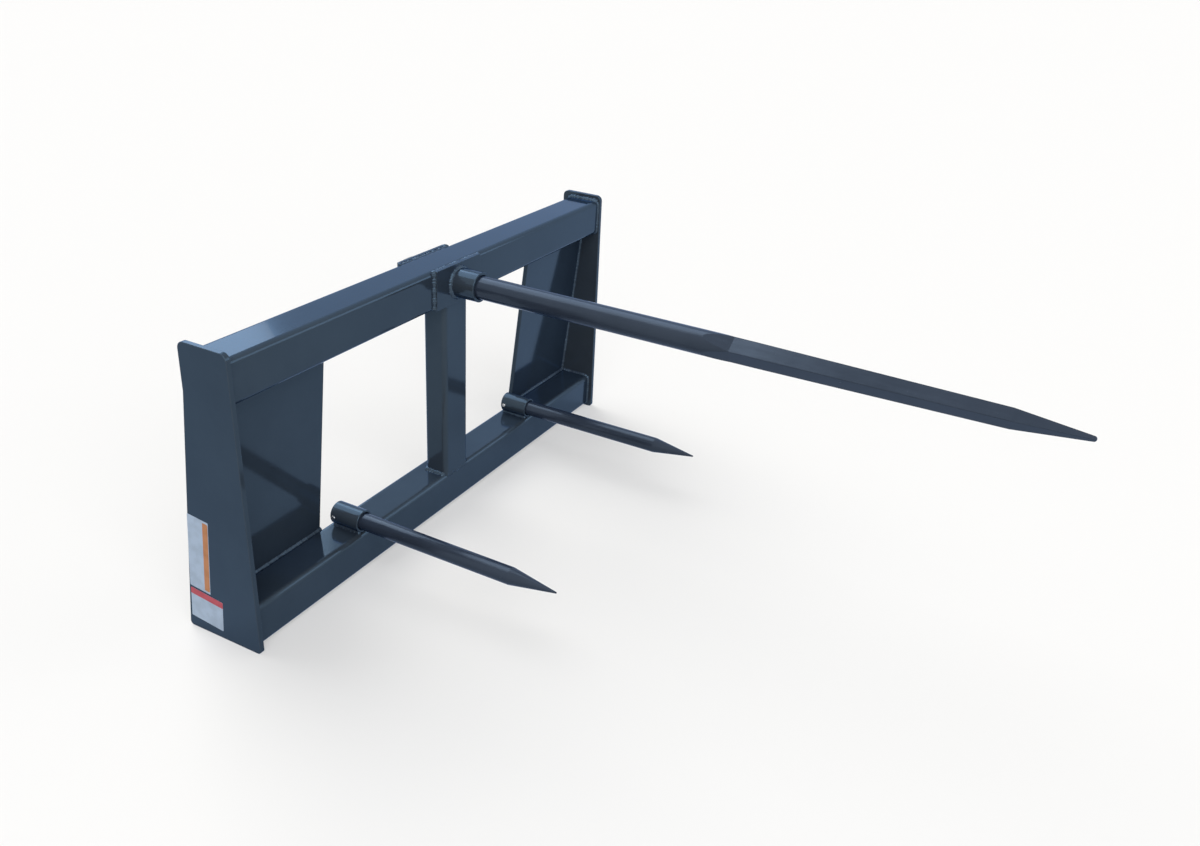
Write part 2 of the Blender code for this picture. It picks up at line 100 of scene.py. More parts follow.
class Graph:
    """A node tree with short calls that add nodes and join their sockets."""

    column_step: int = 190
    row_step: int = 170
    rows: int = 4

    def __init__(self, tree: bpy.types.NodeTree) -> None:
        """Empty a tree and start on it.

        Args:
            tree: The node tree to fill.
        """
        self.tree = tree
        self.tree.nodes.clear()
        self.column = 0

    def node(self, kind: str, inputs: Inputs | None = None, **settings: Any) -> bpy.types.Node:
        """Add a node, set its properties and feed its inputs.

        Args:
            kind: Blender's type name of the node.
            inputs: Values or output sockets for its inputs, by the input's name.
            settings: Properties of the node.

        Returns:
            The new node.
        """
        made = self.tree.nodes.new(kind)
        made.location = (self.column * self.column_step, -(self.column % self.rows) * self.row_step)
        self.column += 1
        for name, value in settings.items():
            setattr(made, name, value)
        for name, value in (inputs or {}).items():
            self.feed(self.socket(made, name), value)
        return made

    @staticmethod
    def socket(node: bpy.types.Node, name: str) -> bpy.types.NodeSocket:
        """Find a node's first active input of a name.

        Args:
            node: The node to look in.
            name: The input's name, or its place as digits where names repeat.

        Returns:
            The input socket.
        """
        if name.isdigit():
            return node.inputs[int(name)]
        return next(item for item in node.inputs if item.name == name and item.enabled)

    @staticmethod
    def active_output(node: bpy.types.Node) -> bpy.types.NodeSocket:
        """Find the output that a node's settings leave active, where several share a name.

        Args:
            node: The node to look in.

        Returns:
            The output socket.
        """
        return next(item for item in node.outputs if item.enabled)

    def feed(self, socket: bpy.types.NodeSocket, value: Any) -> None:
        """Join an output socket to an input, or set the input's own value.

        Args:
            socket: The input socket.
            value: An output socket or a plain value.
        """
        if isinstance(value, bpy.types.NodeSocket):
            self.tree.links.new(value, socket)
        elif isinstance(value, tuple) and socket.type == "RGBA":
            socket.default_value = (*value, 1)
        else:
            socket.default_value = value

    def math(self, operation: str, *values: Any) -> bpy.types.NodeSocket:
        """Add a Math node.

        Args:
            operation: The node's operation.
            values: Its inputs in order.

        Returns:
            Its output.
        """
        inputs = {str(place): value for place, value in enumerate(values)}
        return self.node("ShaderNodeMath", inputs, operation=operation).outputs[0]

    def ramp(self, value: Any, limits: Span, results: Span = (0.0, 1.0)) -> bpy.types.NodeSocket:
        """Map a value's range smoothly onto another.

        Args:
            value: The value to map.
            limits: Values that give the first and the last result.
            results: First and last result.

        Returns:
            The mapped value.
        """
        inputs = {
            "Value": value, "From Min": limits[0], "From Max": limits[1],
            "To Min": results[0], "To Max": results[1],
        }
        return self.node("ShaderNodeMapRange", inputs, interpolation_type="SMOOTHSTEP").outputs[0]

    def blend(self, factor: Any, first: Any, second: Any) -> bpy.types.NodeSocket:
        """Mix two colours.

        Args:
            factor: Share of the second colour.
            first: Colour at 0.
            second: Colour at 1.

        Returns:
            The mixed colour.
        """
        mix = self.node("ShaderNodeMix", data_type="RGBA")
        self.feed(mix.inputs["Factor"], factor)
        self.feed(mix.inputs["A"], first)
        self.feed(mix.inputs["B"], second)
        return mix.outputs["Result"]

    def object_place(self) -> bpy.types.NodeSocket:
        """Give the place on the piece, in its own coordinates."""
        return self.node("ShaderNodeTexCoord").outputs["Object"]

    def stretched(self, place: Any, scale: Place) -> bpy.types.NodeSocket:
        """Stretch the coordinates that a texture reads.

        Args:
            place: The coordinates.
            scale: Factor along each axis.

        Returns:
            The stretched coordinates.
        """
        return self.node("ShaderNodeMapping", {"Vector": place, "Scale": scale}).outputs["Vector"]

    def noise(self, place: Any, scale: Any, detail: float, roughness: float = 0.5,
              distortion: float = 0.0) -> bpy.types.NodeSocket:
        """Add a noise texture.

        Args:
            place: The coordinates that it reads.
            scale: How fine it is.
            detail: How many finer layers it has.
            roughness: How much the finer layers count.
            distortion: How far it is warped.

        Returns:
            Its value.
        """
        return self.node("ShaderNodeTexNoise", {
            "Vector": place, "Scale": scale, "Detail": detail, "Roughness": roughness,
            "Distortion": distortion,
        }).outputs["Fac"]

    def bump(self, height: Any, distance: float, strength: float = 1.0,
             normal: bpy.types.NodeSocket | None = None) -> bpy.types.NodeSocket:
        """Turn a height into a bumpy normal.

        Args:
            height: The height, from 0 to 1.
            distance: Depth of a height of 1.
            strength: Share of the bump that is used.
            normal: The normal to start from, or None for the surface's own.

        Returns:
            The normal.
        """
        inputs = {"Strength": strength, "Distance": distance, "Height": height}
        if normal is not None:
            inputs["Normal"] = normal
        return self.node("ShaderNodeBump", inputs).outputs["Normal"]

    def show(self, shader: bpy.types.Node, output: str = "ShaderNodeOutputMaterial") -> None:
        """Join a shader to the output of the material or the world.

        Args:
            shader: The shader's node.
            output: Blender's type name of the output node.
        """
        self.node(output, {"Surface": shader.outputs[0]})


def new_group(name: str, inputs: Sockets, outputs: Iterable[tuple[str, str]],
              kind: str = "ShaderNodeTree") -> tuple[Graph, bpy.types.Node, bpy.types.Node]:
    """Start a node group with named sockets.

    Args:
        name: The group's name.
        inputs: Name, socket type and default of each input.
        outputs: Name and socket type of each output.
        kind: Type of the node tree.

    Returns:
        The graph, its input node and its output node.
    """
    tree = bpy.data.node_groups.new(name, kind)
    graph = Graph(tree)
    for label, socket_type, value in inputs:
        socket = tree.interface.new_socket(label, in_out="INPUT", socket_type=socket_type)
        if value is not None:
            socket.default_value = value
    for label, socket_type in outputs:
        tree.interface.new_socket(label, in_out="OUTPUT", socket_type=socket_type)
    return graph, graph.node("NodeGroupInput"), graph.node("NodeGroupOutput")


def new_material(name: str) -> tuple[bpy.types.Material, Graph]:
    """Start a material with an empty node tree.

    Args:
        name: The material's name.

    Returns:
        The material and its graph.
    """
    made = bpy.data.materials.new(name)
    made.use_nodes = True
    return made, Graph(made.node_tree)


@dataclass(frozen=True)
class SprayedCoat:
    """Effect of a coat on steel: orange peel, uneven tone, a mask of the edges, where the paints put thin
    paint and painted light, and handling marks.
    """

    peel_scale: float = 300.0
    peel_detail: float = 2.0
    tone_scale: float = 7.0
    tone_detail: float = 4.0
    tone_roughness: float = 0.6
    tone_range: Span = (0.3, 0.7)
    edge_width: float = 1.2 * MM
    edge_samples: int = 3
    edge_range: Span = (0.995, 0.86)
    mark_scale: float = 30.0
    mark_detail: float = 6.0
    mark_roughness: float = 0.72
    mark_warp: float = 0.35
    mark_stretch: Place = (0.35, 2.4, 2.4)
    mark_range: Span = (0.60, 0.74)

    def group(self) -> bpy.types.NodeTree:
        """Build the effect.

        Returns:
            The shader node group.
        """
        graph, start, end = new_group(
            "sprayed coat",
            [
                ("Vector", "NodeSocketVector", None),
                ("Peel Scale", "NodeSocketFloat", self.peel_scale),
                ("Tone Scale", "NodeSocketFloat", self.tone_scale),
                ("Edge Width", "NodeSocketFloat", self.edge_width),
                ("Mark Scale", "NodeSocketFloat", self.mark_scale),
            ],
            [
                ("Peel", "NodeSocketFloat"),
                ("Tone", "NodeSocketFloat"),
                ("Edge", "NodeSocketFloat"),
                ("Marks", "NodeSocketFloat"),
                ("Normal", "NodeSocketVector"),
            ],
        )
        place = start.outputs["Vector"]
        peel = graph.noise(place, start.outputs["Peel Scale"], self.peel_detail)
        tone = graph.noise(place, start.outputs["Tone Scale"], self.tone_detail, self.tone_roughness)
        rounded = graph.node("ShaderNodeBevel", {
            "Radius": start.outputs["Edge Width"],
        }, samples=self.edge_samples)
        flat = graph.node("ShaderNodeNewGeometry")
        turn = graph.node("ShaderNodeVectorMath", {
            "0": rounded.outputs["Normal"], "1": flat.outputs["Normal"],
        }, operation="DOT_PRODUCT")
        marks = graph.noise(graph.stretched(place, self.mark_stretch), start.outputs["Mark Scale"],
                            self.mark_detail, self.mark_roughness, self.mark_warp)
        graph.feed(end.inputs["Peel"], peel)
        graph.feed(end.inputs["Tone"], graph.ramp(tone, self.tone_range))
        graph.feed(end.inputs["Edge"], graph.ramp(turn.outputs["Value"], self.edge_range))
        graph.feed(end.inputs["Marks"], graph.ramp(marks, self.mark_range))
        graph.feed(end.inputs["Normal"], rounded.outputs["Normal"])
        return graph.tree


@dataclass(frozen=True)
class ForgeSkin:
    """Effect of forging on a bar under its paint: drawn-out scale along the bar and shallow dents."""

    scale_size: float = 160.0
    scale_detail: float = 5.0
    scale_roughness: float = 0.62
    scale_stretch: Place = (1.0, 0.12, 1.0)
    dent_size: float = 24.0
    dent_detail: float = 1.0
    dent_depth: float = 1.6
    wear_range: Span = (0.42, 0.68)

    def group(self) -> bpy.types.NodeTree:
        """Build the effect.

        Returns:
            The shader node group.
        """
        graph, start, end = new_group(
            "forge skin",
            [
                ("Vector", "NodeSocketVector", None),
                ("Scale Size", "NodeSocketFloat", self.scale_size),
                ("Dent Size", "NodeSocketFloat", self.dent_size),
            ],
            [("Height", "NodeSocketFloat"), ("Wear", "NodeSocketFloat")],
        )
        place = start.outputs["Vector"]
        scale = graph.noise(graph.stretched(place, self.scale_stretch), start.outputs["Scale Size"],
                            self.scale_detail, self.scale_roughness)
        dents = graph.noise(place, start.outputs["Dent Size"], self.dent_detail)
        graph.feed(end.inputs["Height"], graph.math("MULTIPLY_ADD", dents, self.dent_depth, scale))
        graph.feed(end.inputs["Wear"], graph.ramp(scale, self.wear_range))
        return graph.tree


@dataclass(frozen=True)
class Paint:
    """Sprayed gloss enamel over steel. Its colour is deep in patches and turns to an edge colour along the
    edges: thin paint with a painted highlight on the frame and beads, a painted dark reflection line on the
    spears.
    """

    name: str
    colour: Colour = (0.071, 0.069, 0.065)
    # Lighter along the edges: thin paint with a painted highlight.
    thin_colour: Colour = (0.130, 0.132, 0.130)
    deep_colour: Colour = (0.060, 0.058, 0.055)
    lacquer_tint: Colour = (0.54, 0.69, 0.89)
    sheen_tint: Colour = (0.60, 0.85, 1.0)
    lacquer_ior: float = 1.05
    roughness: float = 0.10
    mark_roughness: float = 0.10
    ior: float = 1.46
    peel_height: float = 0.022 * MM
    edge_width: float = 1.3 * MM
    edge_strength: float = 0.55
    forged: bool = False
    skin_height: float = 0.10 * MM
    wear_roughness: float = 0.12

    def material(self, coat: bpy.types.NodeTree, skin: bpy.types.NodeTree) -> bpy.types.Material:
        """Build the paint's material.

        Args:
            coat: The sprayed coat group.
            skin: The forge skin group.

        Returns:
            The material.
        """
        made, graph = new_material(self.name)
        place = graph.object_place()
        film = graph.node("ShaderNodeGroup", {"Vector": place, "Edge Width": self.edge_width}, node_tree=coat)
        tone = graph.blend(film.outputs["Tone"], self.deep_colour, self.colour)
        edge = graph.math("MULTIPLY", film.outputs["Edge"], self.edge_strength)
        rough = graph.math("MULTIPLY_ADD", film.outputs["Marks"], self.mark_roughness, self.roughness)
        height = film.outputs["Peel"]
        depth = self.peel_height
        if self.forged:
            bar = graph.node("ShaderNodeGroup", {"Vector": place}, node_tree=skin)
            height = bar.outputs["Height"]
            depth = self.skin_height
            rough = graph.math("MULTIPLY_ADD", bar.outputs["Wear"], self.wear_roughness, rough)
        graph.show(graph.node("ShaderNodeBsdfPrincipled", {
            # Edge colour along the edges: thin paint with a painted highlight on the frame and beads, a
            # painted dark reflection line on the spears.
            "Base Color": graph.blend(edge, tone, self.thin_colour),
            "Roughness": rough,
            "IOR": self.ior,
            "Normal": graph.bump(height, depth, normal=film.outputs["Normal"]),
            "Coat Weight": 1.0,
            "Coat IOR": self.lacquer_ior,
            "Coat Tint": self.lacquer_tint,
            "Specular Tint": self.sheen_tint,
        }))
        made.diffuse_color = (*self.colour, 1)
        return made


FRAME_ENAMEL = Paint("frame_enamel")
SPEAR_ENAMEL = Paint(
    "spear_enamel",
    colour=(0.048, 0.052, 0.061),
    # Darker along the arrises: a painted dark reflection line. The edge width and strength below set its
    # size.
    thin_colour=(0.022, 0.024, 0.029),
    deep_colour=(0.036, 0.040, 0.048),
    lacquer_tint=(0.62, 0.73, 0.90),
    sheen_tint=(0.85, 0.95, 1.0),
    roughness=0.15,
    ior=1.44,
    edge_width=2.0 * MM,
    edge_strength=0.95,
    forged=True,
)
# Lighter grey than the frame's enamel: painted highlight, standing in for the glints of the beads' rough
# surface.
BEAD_ENAMEL_PAINTED_GLINT = Paint(
    "bead_enamel_painted_glint",
    colour=(0.118, 0.116, 0.111),
    deep_colour=(0.050, 0.049, 0.047),
    roughness=0.14,
    ior=1.55,
    peel_height=0.05 * MM,
)


@dataclass(frozen=True)
class ZincPlate:
    """Bright zinc plating with faint drawing lines and cloudy patches."""

    name: str = "zinc_plating"
    colour: Colour = (0.46, 0.47, 0.49)
    cloud_colour: Colour = (0.32, 0.33, 0.35)
    roughness: float = 0.30
    line_roughness: float = 0.18
    line_depth: float = 0.02 * MM
    line_strength: float = 0.6
    line_scale: float = 260.0
    cloud_scale: float = 90.0
    edge_width: float = 0.5 * MM

    def material(self, coat: bpy.types.NodeTree) -> bpy.types.Material:
        """Build the plating's material.

        Args:
            coat: The sprayed coat group, used for its tone, marks and edges.

        Returns:
            The material.
        """
        made, graph = new_material(self.name)
        film = graph.node("ShaderNodeGroup", {
            "Vector": graph.object_place(), "Tone Scale": self.cloud_scale, "Mark Scale": self.line_scale,
            "Edge Width": self.edge_width,
        }, node_tree=coat)
        lines = film.outputs["Marks"]
        graph.show(graph.node("ShaderNodeBsdfPrincipled", {
            "Base Color": graph.blend(film.outputs["Tone"], self.cloud_colour, self.colour),
            "Roughness": graph.math("MULTIPLY_ADD", lines, self.line_roughness, self.roughness),
            "Metallic": 1.0,
            "Normal": graph.bump(lines, self.line_depth, self.line_strength, film.outputs["Normal"]),
        }))
        return made


@dataclass(frozen=True)
class DecalFilm:
    """Printed vinyl film, slightly satin, with a faint grain."""

    name: str
    colour: Colour
    fade: float = 0.86
    fade_range: Span = (0.35, 0.7)
    roughness: float = 0.38
    most_roughness: float = 0.50
    gloss_range: Span = (0.3, 0.7)
    ior: float = 1.4
    cloud_scale: float = 60.0
    cloud_detail: float = 4.0
    grain_scale: float = 900.0
    grain_detail: float = 1.0
    grain_depth: float = 0.01 * MM
    grain_strength: float = 0.5

    def material(self) -> bpy.types.Material:
        """Build the film's material.

        Returns:
            The material.
        """
        made, graph = new_material(self.name)
        place = graph.object_place()
        cloud = graph.noise(place, self.cloud_scale, self.cloud_detail)
        grain = graph.noise(place, self.grain_scale, self.grain_detail)
        faded = tuple(self.fade * channel for channel in self.colour)
        graph.show(graph.node("ShaderNodeBsdfPrincipled", {
            "Base Color": graph.blend(graph.ramp(cloud, self.fade_range), self.colour, faded),
            "Roughness": graph.ramp(cloud, self.gloss_range, (self.roughness, self.most_roughness)),
            "IOR": self.ior,
            "Normal": graph.bump(grain, self.grain_depth, self.grain_strength),
        }))
        return made


@dataclass(frozen=True)
class Seam:
    """One run of weld: the line where two faces meet, and its bead's facing and leg at each point."""

    points: list[Vector]
    facing: list[Vector]
    legs: list[float]
    closed: bool = False


def straight_seam(start: Vector, end: Vector, facing: Vector, leg: float) -> Seam:
    """Make a seam along a straight line.

    Args:
        start: First end of the line.
        end: Other end of the line.
        facing: Direction that the bead faces.
        leg: Leg length of the bead.

    Returns:
        The seam.
    """
    return Seam([start, end], [facing.normalized()] * 2, [leg] * 2)


def seam_mesh(name: str, seams: list[Seam]) -> bpy.types.Mesh:
    """Draw seams as edges that carry the bead's facing and leg.

    Args:
        name: The mesh's name.
        seams: The seams to draw.

    Returns:
        The mesh.
    """
    points, edges = [], []
    for seam in seams:
        first = len(points)
        points += seam.points
        last = len(points) - 1
        edges += [(index, index + 1) for index in range(first, last)]
        if seam.closed:
            edges.append((last, first))
    mesh = bpy.data.meshes.new(name)
    mesh.from_pydata(points, edges, [])
    facing = mesh.attributes.new(FACING, "FLOAT_VECTOR", "POINT")
    facing.data.foreach_set("vector", [value for seam in seams for item in seam.facing for value in item])
    leg = mesh.attributes.new(LEG, "FLOAT", "POINT")
    leg.data.foreach_set("value", [value for seam in seams for value in seam.legs])
    return mesh


def add_object(name: str, mesh: bpy.types.Mesh) -> bpy.types.Object:
    """Put a mesh in the scene as an object at the origin.

    Args:
        name: The object's name.
        mesh: Its mesh.

    Returns:
        The object.
    """
    made = bpy.data.objects.new(name, mesh)
    bpy.context.scene.collection.objects.link(made)
    return made


def plain_mesh(item: bpy.types.Object) -> bpy.types.Object:
    """Turn an object with live modifiers into one with a plain mesh.

    Args:
        item: The object, which is removed.

    Returns:
        The plain object, of the same name.
    """
    bpy.context.view_layer.update()
    depsgraph = bpy.context.evaluated_depsgraph_get()
    mesh = bpy.data.meshes.new_from_object(item.evaluated_get(depsgraph))
    name = item.name
    bpy.data.objects.remove(item, do_unlink=True)
    for attribute in (FACING, LEG):
        if attribute in mesh.attributes:
            mesh.attributes.remove(mesh.attributes[attribute])
    mesh.name = name
    return add_object(name, mesh)


@dataclass(frozen=True)
class BeadShape:
    """Shape of a rippled weld bead. Ripple and core sizes are shares of the seam's leg."""

    pitch: float = 2.8 * MM
    tilt: float = math.radians(32)
    unevenness: float = 0.22
    ripple_width: float = 1.30
    ripple_height: float = 0.80
    core_width: float = 0.70
    ripple_levels: int = 2
    core_sides: int = 8

    def values(self) -> Inputs:
        """Name the tree's inputs that set this shape.

        Returns:
            The shape's values by the input's name.
        """
        return {
            "Pitch": self.pitch,
            "Tilt": self.tilt,
            "Unevenness": self.unevenness,
            "Ripple Width": self.ripple_width,
            "Ripple Height": self.ripple_height,
            "Core Width": self.core_width,
        }

    def tree(self) -> bpy.types.NodeTree:
        """Build the Geometry Nodes tree that lays a bead along every seam of a mesh.

        Returns:
            The tree. Its inputs are the seams, the values of the shape, the seed and the material.
        """
        graph, start, end = new_group(
            "weld bead",
            [
                ("Seams", "NodeSocketGeometry", None),
                *((name, "NodeSocketFloat", value) for name, value in self.values().items()),
                ("Seed", "NodeSocketInt", None),
                ("Material", "NodeSocketMaterial", None),
            ],
            [("Beads", "NodeSocketGeometry")],
            "GeometryNodeTree",
        )
        given = start.outputs
        lines = graph.node("GeometryNodeMeshToCurve", {"Mesh": given["Seams"]}).outputs["Curve"]
        curve = graph.node("GeometryNodeResampleCurve", {
            "Curve": lines, "Length": given["Pitch"],
        }, mode="LENGTH").outputs["Curve"]
        legs = graph.node("GeometryNodeInputNamedAttribute", {"Name": LEG}, data_type="FLOAT")
        leg = legs.outputs["Attribute"]
        joined = graph.node("GeometryNodeJoinGeometry")
        graph.feed(joined.inputs["Geometry"], self.ripples(graph, given, curve, leg))
        graph.feed(joined.inputs["Geometry"], self.core(graph, given, curve, leg))
        real = graph.node("GeometryNodeRealizeInstances", {"Geometry": joined.outputs["Geometry"]})
        smooth = graph.node("GeometryNodeSetShadeSmooth", {
            "Geometry": real.outputs["Geometry"], "Shade Smooth": True,
        })
        painted = graph.node("GeometryNodeSetMaterial", {
            "Geometry": smooth.outputs["Geometry"], "Material": given["Material"],
        })
        graph.feed(end.inputs["Beads"], painted.outputs["Geometry"])
        return graph.tree

    def ripples(self, graph: Graph, given: bpy.types.NodeOutputs, curve: bpy.types.NodeSocket,
                leg: bpy.types.NodeSocket) -> bpy.types.NodeSocket:
        """Lay one tilted, uneven ripple at every step along the seams.

        Args:
            graph: The tree to build in.
            given: The outputs of the tree's input node.
            curve: The seams as stepped curves.
            leg: The bead's leg at each step.

        Returns:
            The ripples, as instances.
        """
        facing = graph.node("GeometryNodeInputNamedAttribute", {"Name": FACING}, data_type="FLOAT_VECTOR")
        tangent = graph.node("GeometryNodeInputTangent").outputs["Tangent"]
        along = graph.node("FunctionNodeAlignRotationToVector", {"Vector": tangent}, axis="X")
        turned = graph.node("FunctionNodeAlignRotationToVector", {
            "Rotation": along.outputs["Rotation"], "Vector": facing.outputs["Attribute"],
        }, axis="Z", pivot_axis="X")
        angles = graph.node("ShaderNodeCombineXYZ", {"Y": given["Tilt"]})
        lean = graph.node("FunctionNodeEulerToRotation", {"Euler": angles.outputs["Vector"]})
        tilted = graph.node("FunctionNodeRotateRotation", {
            "Rotation": turned.outputs["Rotation"], "Rotate By": lean.outputs["Rotation"],
        }, rotation_space="LOCAL")
        uneven = graph.node("FunctionNodeRandomValue", {
            "Min": graph.math("SUBTRACT", 1.0, given["Unevenness"]),
            "Max": graph.math("ADD", 1.0, given["Unevenness"]),
            "Seed": given["Seed"],
        }, data_type="FLOAT")
        size = graph.math("MULTIPLY", leg, graph.active_output(uneven))
        girth = graph.node("ShaderNodeCombineXYZ", {
            "X": given["Pitch"],
            "Y": graph.math("MULTIPLY", size, given["Ripple Width"]),
            "Z": graph.math("MULTIPLY", size, given["Ripple Height"]),
        })
        ripple = graph.node("GeometryNodeMeshIcoSphere", {"Radius": 1.0, "Subdivisions": self.ripple_levels})
        return graph.node("GeometryNodeInstanceOnPoints", {
            "Points": curve, "Instance": ripple.outputs["Mesh"], "Rotation": tilted.outputs["Rotation"],
            "Scale": girth.outputs["Vector"],
        }).outputs["Instances"]

    def core(self, graph: Graph, given: bpy.types.NodeOutputs, curve: bpy.types.NodeSocket,
             leg: bpy.types.NodeSocket) -> bpy.types.NodeSocket:
        """Run a round core along the seams, so that no gap shows between the ripples.

        Args:
            graph: The tree to build in.
            given: The outputs of the tree's input node.
            curve: The seams as stepped curves.
            leg: The bead's leg at each step.

        Returns:
            The core.
        """
        circle = graph.node("GeometryNodeCurvePrimitiveCircle", {
            "Resolution": self.core_sides, "Radius": 1.0,
        })
        return graph.node("GeometryNodeCurveToMesh", {
            "Curve": curve, "Profile Curve": circle.outputs["Curve"],
            "Scale": graph.math("MULTIPLY", leg, given["Core Width"]), "Fill Caps": True,
        }).outputs["Mesh"]


class WeldShop:
    """Lays the weld beads of one sub-assembly after another."""

    def __init__(self, shape: BeadShape, material: bpy.types.Material) -> None:
        """Build the shop's tree.

        Args:
            shape: Shape of the beads.
            material: The paint on the beads.
        """
        self.tree = shape.tree()
        self.values = {**shape.values(), "Material": material}

    def lay(self, name: str, seams: list[Seam], seed: int) -> bpy.types.Object:
        """Lay beads along seams as one piece.

        Args:
            name: The piece's name.
            seams: The seams to weld.
            seed: Seed of the ripples' unevenness.

        Returns:
            The piece, riding on the frame.
        """
        guide = add_object(name, seam_mesh(name + "_seams", seams))
        modifier = guide.modifiers.new("Weld bead", "NODES")
        modifier.node_group = self.tree
        values = {**self.values, "Seed": seed}
        for item in self.tree.interface.items_tree:
            if item.item_type == "SOCKET" and item.in_out == "INPUT" and item.name in values:
                modifier[item.identifier] = values[item.name]
        piece = plain_mesh(guide)
        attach(piece, BODY)
        LOG.info("laid %s: %d seams, %d faces", name, len(seams), len(piece.data.polygons))
        return piece


@dataclass(frozen=True)
class TubeFrame:
    """The welded tube frame: its tubes, post and end plates, and the seams that join them."""

    corner_radius: float = 9.5 * MM
    corner_steps: int = 5
    head_leg: float = 7.0 * MM
    foot_leg: float = 4.4 * MM
    edge_leg: float = 3.6 * MM
    edge_from: float = -0.5
    post_leg: float = 6.4 * MM
    front_inset: float = 0.7
    rear_inset: float = 0.4
    front_depth: float = 0.42
    front_rise: float = 0.35
    front_tilt: float = 0.15

    def end_ring(self, tube: str, side: Side, leg: float) -> Seam:
        """Seam around a tube's end on the inner face of an end plate.

        Args:
            tube: The tube's node.
            side: The end of the frame.
            leg: Leg length of the bead. It is less at the front and below, where the plate's edge is near.

        Returns:
            The closed seam.
        """
        low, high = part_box(tube)
        x = high.x * side.value
        radius = self.corner_radius
        corners = [
            (high.y - radius, high.z - radius),
            (low.y + radius, high.z - radius),
            (low.y + radius, low.z + radius),
            (high.y - radius, low.z + radius),
        ]
        points, facing, legs = [], [], []
        for quarter, (y, z) in enumerate(corners):
            for step in range(self.corner_steps + 1):
                angle = (quarter + step / self.corner_steps) * QUARTER_TURN
                outward = Vector((0, math.cos(angle), math.sin(angle)))
                points.append(Vector((x, y, z)) + outward * radius)
                facing.append((outward - Vector((side.value, 0, 0))).normalized())
                legs.append(self.edge_leg if min(outward.y, outward.z) < self.edge_from else leg)
        return Seam(points, facing, legs, closed=True)

    def post_seams(self) -> list[Seam]:
        """Seams around the post's head and foot.

        The front ones lie sunk behind the tubes' rounded corners. Insets, depth and rise are shares of
        the corner's radius.

        Returns:
            The seams.
        """
        low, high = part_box("centre_post")
        front = self.corner_radius * self.front_inset
        rear = self.corner_radius * self.rear_inset
        sunk = self.corner_radius * self.front_depth
        seams = []
        for z, up in ((high.z, -1), (low.z, 1)):
            for side in Side:
                x = high.x * side.value
                seams.append(straight_seam(
                    Vector((x, low.y + front, z)), Vector((x, high.y - rear, z)),
                    Vector((side.value, 0, up)), self.post_leg))
            seams.append(straight_seam(
                Vector((low.x + rear, high.y, z)), Vector((high.x - rear, high.y, z)),
                Vector((0, 1, up)), self.post_leg))
            front_z = z - up * sunk * self.front_rise
            seams.append(straight_seam(
                Vector((low.x + front, low.y + sunk, front_z)),
                Vector((high.x - front, low.y + sunk, front_z)),
                Vector((0, -1, up * self.front_tilt)), self.post_leg))
        return seams

    def dress(self, shop: WeldShop) -> None:
        """Weld the tubes, the post and the end plates.

        Args:
            shop: Lays the beads.
        """
        shop.lay("post_welds", self.post_seams(), seed=11)
        for side in Side:
            rings = [
                self.end_ring("top_tube", side, self.head_leg),
                self.end_ring("bottom_tube", side, self.foot_leg),
            ]
            shop.lay(side.label + "_side_plate_welds", rings, seed=23 + side.value)


@dataclass(frozen=True)
class CouplerPlates:
    """The attach plates and hook lips that the loader takes hold of."""

    leg: float = 4.0 * MM
    lean: float = math.radians(5.8857)
    thickness: float = 9.5 * MM

    def seams(self, side: Side) -> list[Seam]:
        """Seams of one attach plate and its hook lip.

        Args:
            side: The end of the frame.

        Returns:
            The seams.
        """
        low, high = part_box(side.label + "_attach_plate")
        lip_low, lip_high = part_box(side.label + "_hook_lip")
        inner, outer = (high.x, low.x) if side is Side.LEFT else (low.x, high.x)
        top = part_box("top_tube")[0].z
        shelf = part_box("bottom_tube")[1].z
        top_y = -self.thickness / math.cos(self.lean)
        shelf_y = top_y - shelf * math.tan(self.lean)
        top_outer = Vector((outer, top_y, top))
        shelf_outer = Vector((outer, shelf_y, shelf))
        lip_left = Vector((lip_low.x, lip_low.y, lip_high.z))
        lip_right = Vector((lip_high.x, lip_low.y, lip_high.z))
        return [
            straight_seam(Vector((inner, top_y, top)), top_outer, Vector((0, -1, -1)), self.leg),
            straight_seam(Vector((inner, shelf_y, shelf)), shelf_outer, Vector((0, -1, 1)), self.leg),
            straight_seam(top_outer, shelf_outer, Vector((-side.value, -1, 0)), self.leg),
            straight_seam(lip_left, lip_right, Vector((0, 1, 1)), self.leg),
        ]

    def dress(self, shop: WeldShop) -> None:
        """Weld each plate and lip to the tubes and the end plate.

        Args:
            shop: Lays the beads.
        """
        for side in Side:
            shop.lay(side.label + "_attach_plate_welds", self.seams(side), seed=37 + side.value)


